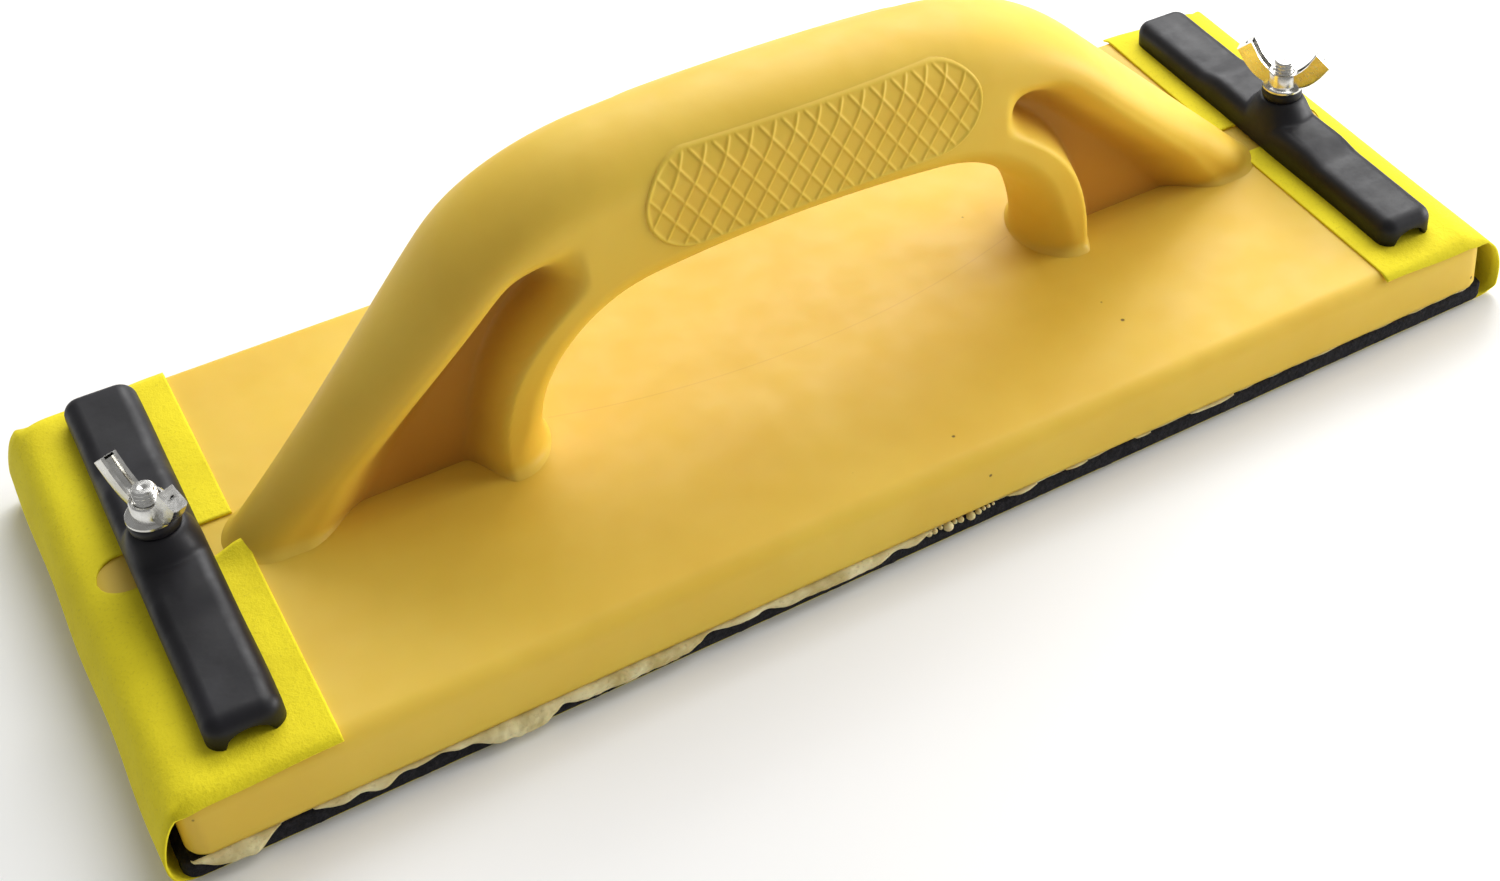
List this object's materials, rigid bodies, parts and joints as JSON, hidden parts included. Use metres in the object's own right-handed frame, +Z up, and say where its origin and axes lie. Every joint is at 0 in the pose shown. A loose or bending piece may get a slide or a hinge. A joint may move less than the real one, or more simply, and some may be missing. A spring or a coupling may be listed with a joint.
{
  "type": "sanding float",
  "caption": "Flat rectangular sanding float with D-handle, rubber pad and an abrasive sheet clamped at both ends by channel bars under wing nuts.",
  "frame": {"origin": "centre of the working face, on the rest plane", "axes": "+X along the length towards the right clamp, +Y across the width, +Z up through the grip"},
  "size_m": [0.33, 0.1261, 0.0942],
  "materials": {
    "yellow_foam": "satin",
    "bond_foam": "matte",
    "rubber": "matte",
    "abrasive": "matte",
    "black_paint": "satin",
    "zinc": "bright"
  },
  "bodies": {
    "float": {"float_body": "yellow_foam", "bond_foam": "bond_foam", "rubber_pad": "rubber", "abrasive_sheet": "abrasive", "left_bolt": "zinc", "right_bolt": "zinc", "left_anchor_plate": "zinc", "right_anchor_plate": "zinc"},
    "left_clamp": {"left_washer": "black_paint"},
    "left_bar": {"left_clamp_bar": "black_paint"},
    "left_nut": {"left_wing_nut": "zinc"},
    "right_clamp": {"right_washer": "black_paint"},
    "right_bar": {"right_clamp_bar": "black_paint"},
    "right_nut": {"right_wing_nut": "zinc"}
  },
  "joints": [
    {"name": "left_clamp_lift", "type": "slide", "parent": "float", "child": "left_clamp", "axis": [0, 0, 1], "range_m": [0, 0.0064]},
    {"name": "left_bar_swing", "type": "hinge", "parent": "left_clamp", "child": "left_bar", "pos_m": [-0.1422, 0, 0.03], "axis": [0, 0, 1], "range_deg": [-25, 25]},
    {"name": "left_nut_turn", "type": "hinge", "parent": "left_clamp", "child": "left_nut", "pos_m": [-0.1422, 0, 0.04], "axis": [0, 0, 1], "range_deg": [0, 2880]},
    {"name": "right_clamp_lift", "type": "slide", "parent": "float", "child": "right_clamp", "axis": [0, 0, 1], "range_m": [0, 0.0064]},
    {"name": "right_bar_swing", "type": "hinge", "parent": "right_clamp", "child": "right_bar", "pos_m": [0.1422, 0, 0.03], "axis": [0, 0, 1], "range_deg": [-25, 25]},
    {"name": "right_nut_turn", "type": "hinge", "parent": "right_clamp", "child": "right_nut", "pos_m": [0.1422, 0, 0.04], "axis": [0, 0, 1], "range_deg": [0, 2880]}
  ],
  "couplings": [
    {"joint": "left_nut_turn", "follows": "left_clamp_lift", "rad_per_m": 7854},
    {"joint": "right_nut_turn", "follows": "right_clamp_lift", "rad_per_m": 7854}
  ]
}
